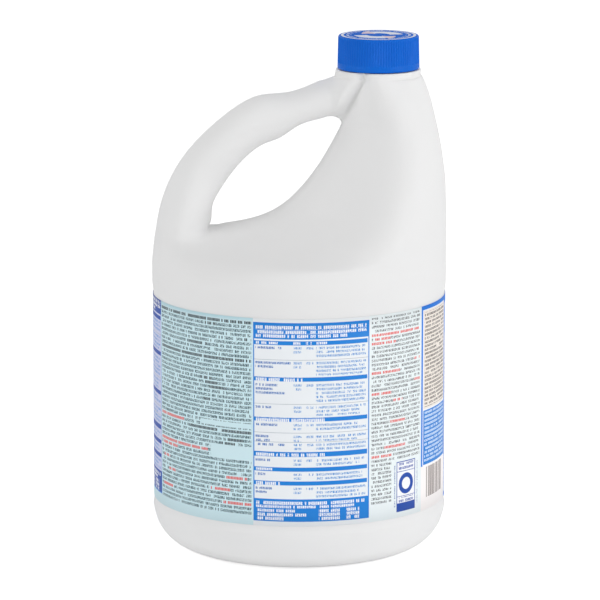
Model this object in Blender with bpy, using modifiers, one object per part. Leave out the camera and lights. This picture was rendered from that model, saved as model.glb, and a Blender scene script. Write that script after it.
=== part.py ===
"""Bleach jug: a blow-moulded bottle with a hollow handle, a ribbed screw cap with its liner, and a wrap label.

Frame: +Z up, origin at the middle of the foot, X along the mould's parting plane with the handle
at -X and the neck at +X, front of the jug towards -Y. Metres.
"""

import math

import bmesh
import bpy
from mathutils import Vector

# Body
BODY_RADIUS = 0.0794
WALL = 0.0009
FOOT_CORNER = 0.024
FOOT_WIDTH = 0.0055
PUSH_UP = 0.0055
PUSH_UP_RADIUS = 0.030
RECESS_BOTTOM_Z = 0.0265
RECESS_DEPTH = 0.0012
RECESS_STEP = 0.0016
SHOULDER_Z = 0.1645
SHOULDER_BAND = 0.0240
WALL_END = 0.0100
LEDGE_Z = 0.2564

# Neck and its finish
NECK_INSET = 0.0369
LEDGE_RADIUS = 0.0238
COLLAR_RADIUS = 0.0227
COLLAR_RISE = 0.0008
COLLAR_HEIGHT = 0.0034
NECK_RADIUS = 0.0175

# Handle: half its width across the jug, from its root to the neck
GRIP_HALF_WIDTHS = (0.0350, 0.0260, 0.0185, 0.0154, 0.0142, 0.0138, 0.0140, 0.0150)
GRIP_DROPS = (0.0030, 0.0020, 0.0005, 0, 0, 0, 0, 0)

# Label
LABEL_THICKNESS = 0.0003
LABEL_MARGIN = 0.0022
LABEL_SEAM_WIDTH = 0.0010
LABEL_SEAM_ANGLE = math.radians(20)
LABEL_STEPS = 96

# Cap and liner
CAP_RADIUS = 0.0216
CAP_LIP_RADIUS = 0.0220
CAP_HEIGHT = 0.0178
CAP_TOP_THICKNESS = 0.0014
CAP_BORE_RADIUS = 0.0196
CAP_EDGE = 0.0005
CAP_BAND = 0.0032
CAP_CLEARANCE = 0.0004
RIB_COUNT = 96
RIB_DEPTH = 0.0004
RIB_RUN_OUT = 0.0006
LINER_THICKNESS = 0.0010
FIT = 0.0003
CUT_OVERRUN = 0.0010

# Half of the jug is a grid: columns run round it from the neck's side to the handle's side
COLUMNS = 13
RIM = 5
RIDGE = 8
GRIP = 9
RIM_TURN = math.radians(92)
NECK_TURN = math.radians(85)
CORNER_ROWS = 2
SMOOTHING = 1
FITTING_PASSES = 6
RIDGE_CREASE = 0.55
VALLEY_CREASE = 0.9
DISH_BULGE = 0.0020
DISH_SHARES = (0.30, 0.64)
FAIRING_PASSES = 300
FAIRING_STEP = 0.4
RIM_SOFTNESS = 0.45
LEG_SOFTNESS = 0.35
ROOT_PASSES = 14
STEPS_ROUND = ((-1, 0), (1, 0), (0, -1), (0, 1))
VALLEY_TURN = math.radians(113)
ROOT_BULGE = 0.0008
RIM_FALL_POWER = 3

# Rows through the hole. X and Y as shares of the body's radius, Z as a share of the shoulder's rise
RIDGE_SHARES = ((-0.567, 0.116), (-0.416, 0.147), (-0.227, 0.192), (-0.076, 0.272),
                (0.044, 0.380), (0.139, 0.492), (0.214, 0.603), (0.287, 0.728))
GRIP_INNER_SHARES = ((-0.600, 0.136), (-0.589, 0.234), (-0.529, 0.337), (-0.416, 0.473),
                     (-0.262, 0.592), (-0.126, 0.640), (0.010, 0.718), (0.189, 0.763))
GRIP_OUTER_SHARES = ((-0.972, 0.114), (-0.940, 0.250), (-0.863, 0.419), (-0.699, 0.620),
                     (-0.416, 0.830), (-0.220, 0.896), (-0.050, 0.911), (0.110, 0.964))
RIM_SHARES = ((0.300, -0.918, 0.012), (0.420, -0.875, 0.052), (0.500, -0.828, 0.115),
              (0.560, -0.770, 0.208), (0.600, -0.712, 0.305), (0.635, -0.625, 0.430),
              (0.660, -0.525, 0.565), (0.664, -0.434, 0.701), (0.638, -0.388, 0.804),
              (0.600, -0.344, 0.902))
RIGHT_SHARES = ((1.000, 0.049), (1.000, 0.136), (0.999, 0.223), (0.996, 0.310), (0.991, 0.408),
                (0.976, 0.511), (0.957, 0.620), (0.929, 0.734), (0.905, 0.821), (0.873, 0.918))
VALLEY_SHARES = ((0.330, 0.812, -0.095), (0.380, 0.909, -0.180))
HANDLE_END_BULGE = 0.0025

# Left half of the row on the shoulder's edge, and the wall's height at the right of two rows
EDGE_SHARES = ((0.965, 0.004), (0.962, 0.016), (0.962, 0.033), (0.975, 0.022),
               (0.986, 0.000), (0.992, -0.027), (0.996, -0.054), (1.000, -0.082))
LEG_ROOT_SHARES = ((-0.730, 0.065, -0.542), (-0.831, 0.071, -0.491), (-0.913, 0.058, -0.334),
                   (-0.970, 0.040, -0.161), (-0.986, 0.027, 0))
LEG_SHARES = ((-0.705, 0.131, -0.327), (-0.812, 0.139, -0.409), (-0.913, 0.128, -0.252))
WALL_SHARES = (-0.065, -0.010)
RIM_REACH_SHARE = 0.965
RIM_DROP_SHARE = -0.002
SECOND_RIM_TURN = math.radians(81)

GREY_WHITE = (0.86, 0.86, 0.86, 1.0)
BLUE = (0.010, 0.110, 0.600, 1.0)
LABEL_BLUE = (0.60, 0.78, 0.84, 1.0)
FOAM_WHITE = (0.75, 0.75, 0.73, 1.0)


def clear_scene():
    for obj in list(bpy.data.objects):
        bpy.data.objects.remove(obj, do_unlink=True)


def collection(name):
    made = bpy.data.collections.new(name)
    bpy.context.scene.collection.children.link(made)
    return made


def material(name, colour, roughness):
    made = bpy.data.materials.new(name)
    made.use_nodes = True
    shader = made.node_tree.nodes["Principled BSDF"]
    shader.inputs["Base Color"].default_value = colour
    shader.inputs["Roughness"].default_value = roughness
    shader.inputs["Metallic"].default_value = 0.0
    return made


def mesh_object(name, mesh, group, finish):
    obj = bpy.data.objects.new(name, mesh)
    group.objects.link(obj)
    obj.data.materials.append(finish)
    mesh.shade_smooth()
    return obj


def recess_top():
    return SHOULDER_Z - SHOULDER_BAND


def neck_offset():
    return BODY_RADIUS - NECK_INSET


def collar_top():
    return LEDGE_Z + COLLAR_RISE + COLLAR_HEIGHT


def cap_bottom():
    return collar_top() + CAP_CLEARANCE


def lip_height():
    """The neck's height follows the cap, which bears on it through the liner."""
    return cap_bottom() + CAP_HEIGHT - CAP_TOP_THICKNESS - LINER_THICKNESS - 2 * FIT


def column_angles(rim_turn):
    """Angles of the columns, from +X towards -Y, eased so that the rim column lies at rim_turn."""
    even = math.pi / COLUMNS
    skew = (rim_turn - even * RIM) / math.sin(even * RIM)
    return [even * column + skew * math.sin(even * column) for column in range(COLUMNS + 1)]


def ring(radius, height, rim_turn=RIM_TURN, centre=0.0):
    return [
        Vector((centre + radius * math.cos(turn), -radius * math.sin(turn), height))
        for turn in column_angles(rim_turn)
    ]


def ledge_ring():
    """The ring under the neck, its columns spaced to meet the dish, the valley and the handle."""
    stops = ((0, 0), (RIM, NECK_TURN), (RIDGE, VALLEY_TURN), (COLUMNS, math.pi))
    points = []
    for (first, start), (last, end) in zip(stops, stops[1:]):
        for column in range(first, last + (last == COLUMNS)):
            turn = start + (end - start) * (column - first) / (last - first)
            points.append(Vector((
                neck_offset() + LEDGE_RADIUS * math.cos(turn),
                -LEDGE_RADIUS * math.sin(turn),
                LEDGE_Z,
            )))
    return points


def on_jug(x_share, z_share, y_share=0.0):
    """A point of the shoulder from its shares."""
    return Vector((
        BODY_RADIUS * x_share,
        BODY_RADIUS * y_share,
        SHOULDER_Z + (LEDGE_Z - SHOULDER_Z) * z_share,
    ))


def wall_points(right, rim):
    """The columns from the neck's side to the rim: an arc centred on the parting plane."""
    centre = (right.x**2 - rim.x**2 - rim.y**2) / (2 * (right.x - rim.x))
    radius = right.x - centre
    turn = math.atan2(-rim.y, rim.x - centre)
    points = []
    for column in range(RIM + 1):
        share = column / RIM
        height = right.z + (rim.z - right.z) * share**RIM_FALL_POWER
        angle = turn * share
        points.append(Vector((centre + radius * math.cos(angle), -radius * math.sin(angle), height)))
    return points


def grip_points(inner, outer, half_width, drop):
    """Half of the handle's oval section, from the hole round to the outside, its front lower by drop."""
    middle = (inner + outer) / 2
    steps = COLUMNS - GRIP
    points = []
    for step in range(steps + 1):
        turn = math.pi * step / steps
        across = Vector((0, -half_width, -drop)) * math.sin(turn)
        points.append(middle + (inner - middle) * math.cos(turn) + across)
    return points


def dish_points(rim, ridge):
    """The dish between rim and ridge, a little proud of the straight line."""
    outward = Vector((rim.y, -(rim.x - ridge.x), 0)).normalized()
    proud = (outward + Vector((0, 0, 1))).normalized() * DISH_BULGE
    return [rim.lerp(ridge, share) + proud for share in DISH_SHARES]


def hole_rows():
    """The rows that the handle's hole splits, each a body part and a handle part."""
    rows = []
    for number, ridge_share in enumerate(RIDGE_SHARES):
        ridge = on_jug(*ridge_share)
        rim_x, rim_y, rim_z = RIM_SHARES[number]
        wall = wall_points(on_jug(*RIGHT_SHARES[number]), on_jug(rim_x, rim_z, rim_y))
        half_width = GRIP_HALF_WIDTHS[number]
        inner = on_jug(*GRIP_INNER_SHARES[number])
        outer = on_jug(*GRIP_OUTER_SHARES[number])
        rows.append(wall + dish_points(wall[RIM], ridge) + [ridge] + grip_points(inner, outer, half_width, GRIP_DROPS[number]))
    rows[0][GRIP + 1:COLUMNS] = [on_jug(*shares) for shares in LEG_SHARES]
    return rows


def front_rim(turn):
    """A point of the shoulder's edge at the front of the jug."""
    return on_jug(RIM_REACH_SHARE * math.cos(turn), RIM_DROP_SHARE, -RIM_REACH_SHARE * math.sin(turn))


def edge_row():
    """The row on the shoulder's edge, below the handle's root."""
    angles = column_angles(RIM_TURN)
    points = wall_points(on_jug(1, WALL_SHARES[0]), front_rim(RIM_TURN))
    for turn, (reach, height) in zip(angles[RIM + 1:], EDGE_SHARES):
        points.append(on_jug(reach * math.cos(turn), height, -reach * math.sin(turn)))
    return points


def root_row(edge, first_hole_row):
    """The row half-way from the shoulder's edge to the handle's root."""
    points = wall_points(on_jug(1, WALL_SHARES[1]), front_rim(SECOND_RIM_TURN))
    inside = on_jug(-1 / 2, 0)
    inside.z = recess_top()
    for column in range(RIM + 1, GRIP):
        middle = (edge[column] + first_hole_row[column]) / 2
        points.append(middle + (middle - inside).normalized() * ROOT_BULGE)
    return points + [on_jug(*shares) for shares in LEG_ROOT_SHARES]


def neck_rows(last_hole_row, ledge):
    """The rows above the hole, where handle and neck meet in a valley."""
    rows = []
    above = RIM_SHARES[len(RIDGE_SHARES):]
    for step, (x_share, y_share, z_share) in enumerate(above):
        right = on_jug(*RIGHT_SHARES[len(RIDGE_SHARES) + step])
        wall = wall_points(right, on_jug(x_share, z_share, y_share))
        blend = (step + 1) / (len(above) + 1)
        valley = on_jug(*VALLEY_SHARES[step])
        rest = dish_points(wall[RIM], valley)[:RIDGE - RIM - 1] + [valley]
        rest += [
            last_hole_row[column].lerp(ledge[column], blend) + Vector((0, -HANDLE_END_BULGE, 0)) * (column < COLUMNS)
            for column in range(RIDGE + 1, COLUMNS + 1)
        ]
        rows.append(wall + rest)
    return rows


def bottle_rows():
    """All rows from the foot to the lip, the numbers of those with a hard edge, and the hole's rows."""
    foot_radius = BODY_RADIUS - FOOT_CORNER
    rows = [
        ring(PUSH_UP_RADIUS, PUSH_UP),
        ring(foot_radius - FOOT_WIDTH, 0),
        ring(foot_radius, 0),
    ]
    for step in range(1, CORNER_ROWS + 1):
        turn = math.pi / 2 * step / (CORNER_ROWS + 1)
        rows.append(ring(foot_radius + FOOT_CORNER * math.sin(turn), FOOT_CORNER * (1 - math.cos(turn))))
    rows += [
        ring(BODY_RADIUS, RECESS_BOTTOM_Z - RECESS_STEP),
        ring(BODY_RADIUS - RECESS_DEPTH, RECESS_BOTTOM_Z),
        ring(BODY_RADIUS - RECESS_DEPTH, recess_top()),
        ring(BODY_RADIUS, recess_top() + RECESS_STEP),
        ring(BODY_RADIUS, SHOULDER_Z - WALL_END),
    ]
    hard = [1, 2, CORNER_ROWS + 3, CORNER_ROWS + 4, CORNER_ROWS + 5, CORNER_ROWS + 6]
    split = hole_rows()
    edge = edge_row()
    rows += [edge, root_row(edge, split[0])]
    first = len(rows)
    rows += split
    last = len(rows) - 1
    ledge = ledge_ring()
    rows += neck_rows(split[-1], ledge)
    hard += [len(rows) + offset for offset in range(5)]
    rows += [
        ledge,
        ring(COLLAR_RADIUS, LEDGE_Z + COLLAR_RISE, NECK_TURN, neck_offset()),
        ring(COLLAR_RADIUS, collar_top(), NECK_TURN, neck_offset()),
        ring(NECK_RADIUS, collar_top(), NECK_TURN, neck_offset()),
        ring(NECK_RADIUS, lip_height(), NECK_TURN, neck_offset()),
    ]
    return fair(rows, first, last), hard, first, last


def half_shell(rows, hard, first, last):
    """The half grid as an open surface, with the foot closed by a fan and the hole left out."""
    bm = bmesh.new()
    crease = bm.edges.layers.float.new("crease_edge")
    centre = bm.verts.new((0, 0, PUSH_UP))
    grid = [[bm.verts.new(point) for point in row] for row in rows]
    for column in range(COLUMNS):
        bm.faces.new((centre, grid[0][column], grid[0][column + 1]))
    for low, (below, above) in enumerate(zip(grid, grid[1:])):
        for column in range(COLUMNS):
            if column == RIDGE and first <= low < last:
                continue
            bm.faces.new((below[column], above[column], above[column + 1], below[column + 1]))
    for number in hard:
        for left, right in zip(grid[number], grid[number][1:]):
            bm.edges.get((left, right))[crease] = 1.0
    for number in range(first, len(rows) - 5):
        strength = RIDGE_CREASE if number < last else VALLEY_CREASE
        bm.edges.get((grid[number][RIDGE], grid[number + 1][RIDGE]))[crease] = strength
    mesh = bpy.data.meshes.new("bottle")
    bm.to_mesh(mesh)
    bm.free()
    return mesh


def soft_keys(first, last):
    """Row and column of the points that the fairing places: the dish's rim and the handle's root."""
    soft = {(first - 2, column) for column in range(RIM - 1, COLUMNS)}
    soft |= {(first - 1, column) for column in range(RIM - 1, COLUMNS)}
    soft |= {(row, RIM) for row in range(first, last + 3)}
    return soft | {(row, column) for row in (first, last + 1, last + 2) for column in range(GRIP + 1, COLUMNS)}


def fair(rows, first, last):
    """Moves the soft points of the grid until the surface bends as little as it can."""
    soft = soft_keys(first, last)
    points = {(row, column): point.copy() for row, line in enumerate(rows) for column, point in enumerate(line)}

    def around(row, column):
        found = [points[(row - 1, column)], points[(row + 1, column)]]
        hole = first <= row <= last
        sides = [column - 1, column + 1]
        if column == 0 or hole and column == GRIP:
            sides = [column + 1, column + 1]
        if column == COLUMNS or hole and column == RIDGE:
            sides = [column - 1, column - 1]
        found += [points[(row, side)] for side in sides]
        if sides[0] == sides[1]:
            found[-1] = Vector((found[-1].x, -found[-1].y, found[-1].z))
        return found

    def lag(row, column):
        return sum(around(row, column), Vector()) / 4 - points[(row, column)]

    near = {(row + up, column + side) for row, column in soft for up, side in STEPS_ROUND}
    near = [key for key in near | soft if 0 <= key[1] <= COLUMNS]
    for _ in range(FAIRING_PASSES):
        lags = {key: lag(*key) for key in near}
        for row, column in soft:
            spread = Vector()
            for up, side in STEPS_ROUND:
                spread += lags.get((row + up, column + side), Vector())
            points[(row, column)] += (lags[(row, column)] - spread / 4) * FAIRING_STEP
    faired = []
    for row, line in enumerate(rows):
        faired.append([])
        for column, point in enumerate(line):
            softness = 1 if row > first or row == first and column <= RIM else LEG_SOFTNESS
            if row < first and column <= RIDGE:
                softness = RIM_SOFTNESS
            faired[-1].append(point.lerp(points[(row, column)], softness))
    return faired


def pull_through(obj, targets):
    """Moves the cage until the smoothed surface passes through the target points."""
    for _ in range(FITTING_PASSES):
        bpy.context.view_layer.update()
        evaluated = obj.evaluated_get(bpy.context.evaluated_depsgraph_get())
        smooth = evaluated.to_mesh()
        for vertex, target in zip(obj.data.vertices, targets):
            vertex.co += target - smooth.vertices[vertex.index].co
        evaluated.to_mesh_clear()
        obj.data.update()


def soften_root(obj, first):
    """Blends the handle's root into the shoulder, where rows and columns of the grid change places."""
    root = obj.vertex_groups.new(name="root")
    for row in range(first - 2, first + 2):
        for column in range(RIDGE - 1, COLUMNS):
            inner = first - 2 < row < first + 1 and RIDGE <= column < COLUMNS
            at_hole = row >= first and column in (RIDGE, GRIP)
            if not at_hole:
                root.add([1 + row * (COLUMNS + 1) + column], 1.0 if inner else 0.5, "REPLACE")
    blend = obj.modifiers.new("root_blend", "SMOOTH")
    blend.vertex_group = "root"
    blend.factor = 0.5
    blend.iterations = ROOT_PASSES


def make_bottle(group, finish):
    rows, hard, first, last = bottle_rows()
    mesh = half_shell(rows, hard, first, last)
    targets = [vertex.co.copy() for vertex in mesh.vertices]
    bottle = mesh_object("bottle", mesh, group, finish)
    mirror = bottle.modifiers.new("other_half", "MIRROR")
    mirror.use_axis = (False, True, False)
    mirror.use_clip = True
    mirror.merge_threshold = 0.0001
    smooth = bottle.modifiers.new("smooth", "SUBSURF")
    smooth.levels = SMOOTHING
    smooth.render_levels = SMOOTHING
    pull_through(bottle, targets)
    soften_root(bottle, first)
    shell = bottle.modifiers.new("wall", "SOLIDIFY")
    shell.thickness = WALL
    shell.offset = -1
    shell.use_quality_normals = True
    return bottle


def make_liner(group, finish, seat):
    bm = bmesh.new()
    bmesh.ops.create_cone(
        bm,
        cap_ends=True,
        segments=RIB_COUNT // 2,
        radius1=CAP_BORE_RADIUS - FIT,
        radius2=CAP_BORE_RADIUS - FIT,
        depth=LINER_THICKNESS,
    )
    mesh = bpy.data.meshes.new("cap_liner")
    bm.to_mesh(mesh)
    bm.free()
    liner = mesh_object("cap_liner", mesh, group, finish)
    mesh.set_sharp_from_angle(angle=math.radians(40))
    liner.parent = seat
    liner.location.z = lip_height() + FIT + LINER_THICKNESS / 2
    return liner


def rib_ring(bm, radius, depth, height):
    """A ring of points whose every other point lies deeper by depth."""
    points = []
    for step in range(2 * RIB_COUNT):
        turn = math.pi * step / RIB_COUNT
        reach = radius - depth * (step % 2)
        points.append(bm.verts.new((reach * math.cos(turn), reach * math.sin(turn), height)))
    return points


def make_cap(group, cutters, finish, seat):
    bottom = cap_bottom()
    top = bottom + CAP_HEIGHT

    def side(height):
        """The cap's radius at this height: it widens towards its lip."""
        return CAP_LIP_RADIUS + (CAP_RADIUS - CAP_LIP_RADIUS) * (height - bottom) / CAP_HEIGHT

    band = bottom + CAP_BAND
    heights = [
        (bottom, -CAP_EDGE, 0),
        (bottom + CAP_EDGE, 0, 0),
        (band, 0, 0),
        (band + RIB_RUN_OUT, 0, RIB_DEPTH),
        (top - CAP_EDGE - RIB_RUN_OUT, 0, RIB_DEPTH),
        (top - CAP_EDGE, 0, 0),
        (top, -CAP_EDGE, 0),
    ]
    bm = bmesh.new()
    rings = [rib_ring(bm, side(height) + inset, depth, height) for height, inset, depth in heights]
    bm.faces.new(reversed(rings[0]))
    bm.faces.new(rings[-1])
    count = len(rings[0])
    for below, above in zip(rings, rings[1:]):
        for step in range(count):
            following = (step + 1) % count
            bm.faces.new((below[step], below[following], above[following], above[step]))
    mesh = bpy.data.meshes.new("cap")
    bm.to_mesh(mesh)
    bm.free()
    cap = mesh_object("cap", mesh, group, finish)
    mesh.set_sharp_from_angle(angle=math.radians(25))
    cap.parent = seat

    depth = CAP_HEIGHT - CAP_TOP_THICKNESS + CUT_OVERRUN
    bm = bmesh.new()
    bmesh.ops.create_cone(
        bm,
        cap_ends=True,
        segments=RIB_COUNT // 2,
        radius1=CAP_BORE_RADIUS,
        radius2=CAP_BORE_RADIUS,
        depth=depth,
    )
    bore_mesh = bpy.data.meshes.new("cap_bore")
    bm.to_mesh(bore_mesh)
    bm.free()
    bore = bpy.data.objects.new("cap_bore", bore_mesh)
    cutters.objects.link(bore)
    bore.parent = seat
    bore.location.z = bottom - CUT_OVERRUN + depth / 2
    bore.hide_render = True
    bore.display_type = "WIRE"
    cut = cap.modifiers.new("bore", "BOOLEAN")
    cut.operation = "DIFFERENCE"
    cut.object = bore
    return cap


def make_label(group, finish):
    """A band round the recess, open at its seam."""
    radius = BODY_RADIUS - RECESS_DEPTH + FIT
    seam = LABEL_SEAM_WIDTH / radius
    mesh = bpy.data.meshes.new("label")
    mesh.from_pydata(
        [(radius, 0, recess_top() - LABEL_MARGIN), (radius, 0, RECESS_BOTTOM_Z + LABEL_MARGIN)],
        [(0, 1)],
        [],
    )
    label = mesh_object("label", mesh, group, finish)
    label.rotation_euler.z = LABEL_SEAM_ANGLE + seam / 2
    turn = label.modifiers.new("wrap", "SCREW")
    turn.angle = 2 * math.pi - seam
    turn.steps = LABEL_STEPS
    turn.render_steps = LABEL_STEPS
    turn.use_merge_vertices = False
    shell = label.modifiers.new("film", "SOLIDIFY")
    shell.thickness = LABEL_THICKNESS
    shell.offset = 1
    shell.use_even_offset = True
    return label


def make_jug():
    clear_scene()
    group = collection("bleach_jug")
    cutters = collection("cutters")
    plastic = material("white_plastic", GREY_WHITE, 0.35)
    cap_plastic = material("blue_plastic", BLUE, 0.35)
    film = material("label_film", LABEL_BLUE, 0.30)
    foam = material("liner_foam", FOAM_WHITE, 0.70)
    make_bottle(group, plastic)
    make_label(group, film)
    neck_axis = bpy.data.objects.new("neck_axis", None)
    neck_axis.location = (neck_offset(), 0, 0)
    group.objects.link(neck_axis)
    make_liner(group, foam, neck_axis)
    make_cap(group, cutters, cap_plastic, neck_axis)


make_jug()
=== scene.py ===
import math

import bmesh
import bpy
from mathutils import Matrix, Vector


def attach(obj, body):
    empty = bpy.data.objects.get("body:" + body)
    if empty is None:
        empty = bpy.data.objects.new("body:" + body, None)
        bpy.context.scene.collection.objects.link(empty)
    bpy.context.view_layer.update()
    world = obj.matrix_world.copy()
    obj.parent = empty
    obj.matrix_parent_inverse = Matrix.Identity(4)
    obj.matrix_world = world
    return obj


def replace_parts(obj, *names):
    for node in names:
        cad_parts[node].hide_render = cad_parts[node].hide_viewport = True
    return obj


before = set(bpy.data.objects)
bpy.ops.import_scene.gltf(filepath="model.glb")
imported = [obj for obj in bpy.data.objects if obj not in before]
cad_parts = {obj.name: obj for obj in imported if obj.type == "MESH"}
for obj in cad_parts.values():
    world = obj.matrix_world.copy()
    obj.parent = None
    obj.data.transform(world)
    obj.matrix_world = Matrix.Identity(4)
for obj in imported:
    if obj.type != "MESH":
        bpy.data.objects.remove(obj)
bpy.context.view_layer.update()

# The studio: the jug stands on a plain white sweep that runs on as far as the picture reaches.
# A large soft box lights it from the front right, with a weaker one at the left and one overhead,
# and the camera looks down on it from the side of its back panel.
PICTURE_PIXELS = 600
LENS_PIXELS = 4388.8
CAMERA_PLACE = (0.0005, -2.33, 0.592)
CAMERA_TILT = 0.19397
SENSOR_WIDTH = 36
CAMERA_REACH = 50
SWEEP_HALF_WIDTH = 6.0
PAPER_TONES = ((0.92, 0.92, 0.92, 1), (0.95, 0.95, 0.95, 1))
PURE_WHITE = (1, 1, 1, 1)
SWEEP_GLOW = 0.62
SWEEP_BOUNCE = 0.1
ROOM_LIGHT = 0.5
AIM = Vector((0, 0, 0.13))
# Each lamp's name, place, width and power in watts
LAMPS = (
    ("soft_box_right", (1.8, -1.0, 0.3), 1.3, 19.0),
    ("soft_box_left", (-1.7, -1.1, 0.3), 1.3, 11.2),
    ("soft_box_overhead", (0.1, -0.5, 1.9), 1.4, 6.6),
)


class Shade:
    """One socket of a material's nodes. Plain arithmetic on it adds Math nodes."""

    def __init__(self, tree, socket=None):
        self.tree = tree
        self.socket = socket

    def node(self, kind, settings=None, inputs=None, output=0):
        """Adds a node: first its settings or a ramp's stops, then the values or links of its sockets."""
        made = self.tree.nodes.new("ShaderNode" + kind)
        for name, value in (settings or {}).items():
            if name == "stops":
                stops = made.color_ramp.elements
                stops[0].position, stops[0].color = value[0]
                stops[1].position, stops[1].color = value[-1]
                for place, colour in value[1:-1]:
                    stops.new(place).color = colour
            elif name == "interpolation":
                made.color_ramp.interpolation = value
            else:
                setattr(made, name, value)
        for key, value in (inputs or {}).items():
            if isinstance(value, Shade):
                self.tree.links.new(value.socket, made.inputs[key])
            else:
                made.inputs[key].default_value = value
        return Shade(self.tree, made.outputs[output] if made.outputs else None)

    def math(self, operation, *values):
        return self.node("Math", {"operation": operation}, dict(enumerate(values)))

    def __add__(self, other):
        return self.math("ADD", self, other)

    def __sub__(self, other):
        return self.math("SUBTRACT", self, other)

    def __rsub__(self, other):
        return self.math("SUBTRACT", other, self)

    def __mul__(self, other):
        return self.math("MULTIPLY", self, other)

    def __truediv__(self, other):
        return self.math("DIVIDE", self, other)

    def __gt__(self, other):
        return self.math("GREATER_THAN", self, other)

    def __lt__(self, other):
        return self.math("LESS_THAN", self, other)

    __radd__ = __add__
    __rmul__ = __mul__

    def between(self, low, high):
        return (self > low) * (self < high)

    def mixed(self, first, second):
        """The first colour where this share is 0, the second where it is 1."""
        return self.node("Mix", {"data_type": "RGBA"}, {0: self, 6: first, 7: second}, 2)


def bare_tree(owner):
    """The empty node tree of a material or the world."""
    owner.use_nodes = True
    owner.node_tree.nodes.clear()
    return Shade(owner.node_tree)


def new_finish(name):
    """A new material, its empty node tree, and the place of each point of its piece."""
    made = bpy.data.materials.new(name)
    tree = bare_tree(made)
    return made, tree, tree.node("TexCoord", output="Object")


bpy.context.scene.world = bpy.data.worlds.new("room")
room = bare_tree(bpy.context.scene.world)
seen = room.node("LightPath", output="Is Camera Ray")
for kind in ("Is Glossy Ray", "Is Transmission Ray"):
    seen = seen.math("MAXIMUM", seen, room.node("LightPath", output=kind))
dim = room.node("Background", None, {"Color": PURE_WHITE, "Strength": ROOM_LIGHT})
bright = room.node("Background", None, {"Color": PURE_WHITE, "Strength": 1.0})
room.node("OutputWorld", None, {"Surface": room.node("MixShader", None, {0: seen, 1: dim, 2: bright})})

sweep_paper, paper, place = new_finish("sweep_paper")
fibres = paper.node("TexNoise", None, {"Vector": place, "Scale": 900.0})
matt = paper.node("BsdfDiffuse", None, {"Color": fibres.mixed(*PAPER_TONES)})
bounce, lit = (
    paper.node("AddShader", None, {
        0: matt, 1: paper.node("Emission", None, {"Color": PURE_WHITE, "Strength": strength})})
    for strength in (SWEEP_BOUNCE, SWEEP_GLOW)
)
seen = paper.node("LightPath", output="Is Camera Ray")
paper.node("OutputMaterial", None, {"Surface": paper.node("MixShader", None, {0: seen, 1: bounce, 2: lit})})

sweep_mesh = bpy.data.meshes.new("sweep")
corners = [(SWEEP_HALF_WIDTH * x, SWEEP_HALF_WIDTH * y, 0) for x, y in ((-1, -1), (1, -1), (1, 1), (-1, 1))]
sweep_mesh.from_pydata(corners, [], [(0, 1, 2, 3)])
sweep = bpy.data.objects.new("sweep", sweep_mesh)
bpy.context.scene.collection.objects.link(sweep)
sweep_mesh.materials.append(sweep_paper)

for name, place, width, watts in LAMPS:
    lamp = bpy.data.objects.new(name, bpy.data.lights.new(name, "AREA"))
    bpy.context.scene.collection.objects.link(lamp)
    lamp.data.shape = "DISK"
    lamp.data.size = width
    lamp.data.energy = watts
    lamp.location = place
    lamp.rotation_euler = (AIM - lamp.location).to_track_quat("-Z", "Y").to_euler()

camera = bpy.data.objects.new("camera", bpy.data.cameras.new("camera"))
bpy.context.scene.collection.objects.link(camera)
camera.location = CAMERA_PLACE
camera.rotation_euler = (math.pi / 2 - CAMERA_TILT, 0, 0)
camera.data.sensor_width = SENSOR_WIDTH
camera.data.lens = LENS_PIXELS * SENSOR_WIDTH / PICTURE_PIXELS
camera.data.clip_end = CAMERA_REACH
bpy.context.scene.camera = camera
bpy.context.scene.view_settings.view_transform = "Standard"

# The bottle: one shell of white polyethylene, blown in a two-part mould that leaves a fine parting
# line round it. Its hollow handle, shoulder dish, label recess, neck and pushed-up foot are one wall,
# and the skin is satin, with the faint pebbled grain of a sand-blasted mould.
BODY_RADIUS = 0.0794
WALL = 0.0009
FOOT_CORNER = 0.024
FOOT_WIDTH = 0.0055
PUSH_UP = 0.0055
PUSH_UP_RADIUS = 0.030
RECESS_BOTTOM_Z = 0.0265
RECESS_DEPTH = 0.0006
RECESS_STEP = 0.0050
RECESS_FOOT_STEP = 0.0040
SHOULDER_Z = 0.1645
SHOULDER_BAND = 0.0240
WALL_END = 0.0100
LEDGE_Z = 0.2564
NECK_INSET = 0.0369
LEDGE_RADIUS = 0.0238
COLLAR_RADIUS = 0.0227
COLLAR_RISE = 0.0008
COLLAR_HEIGHT = 0.0034
NECK_RADIUS = 0.0175
# Handle: half its width across the jug, from its root to the neck, and how far its front droops
GRIP_HALF_WIDTHS = (0.0350, 0.0260, 0.0185, 0.0154, 0.0142, 0.0138, 0.0140, 0.0150)
GRIP_DROPS = (0.0030, 0.0020, 0.0005, 0, 0, 0, 0, 0)
# Half of the jug is a grid: columns run round it from the neck's side to the handle's side, and
# those of the dish's rim, the ridge at the hole and the handle's inside have their numbers here
COLUMNS = 13
RIM = 5
RIDGE = 8
GRIP = 9
RIM_TURN = math.radians(92)
NECK_TURN = math.radians(85)
CORNER_ROWS = 2
NECK_ROWS = 5
SMOOTHING = 2
MERGE_REACH = 0.0001
FITTING_PASSES = 6
RIDGE_CREASE = 0.55
VALLEY_CREASE = 1.0
DISH_BULGE = 0.0020
DISH_SHARES = (0.30, 0.64)
FAIRING_PASSES = 300
FAIRING_STEP = 0.4
RIM_SOFTNESS = 0.45
LEG_SOFTNESS = 0.35
ROOT_PASSES = 56
ROOT_BLEND = 0.5
ROOT_EDGE_WEIGHT = 0.5
STEPS_ROUND = ((-1, 0), (1, 0), (0, -1), (0, 1))
VALLEY_TURN = math.radians(113)
ROOT_BULGE = 0.0008
RIM_FALL_POWER = 3

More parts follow.
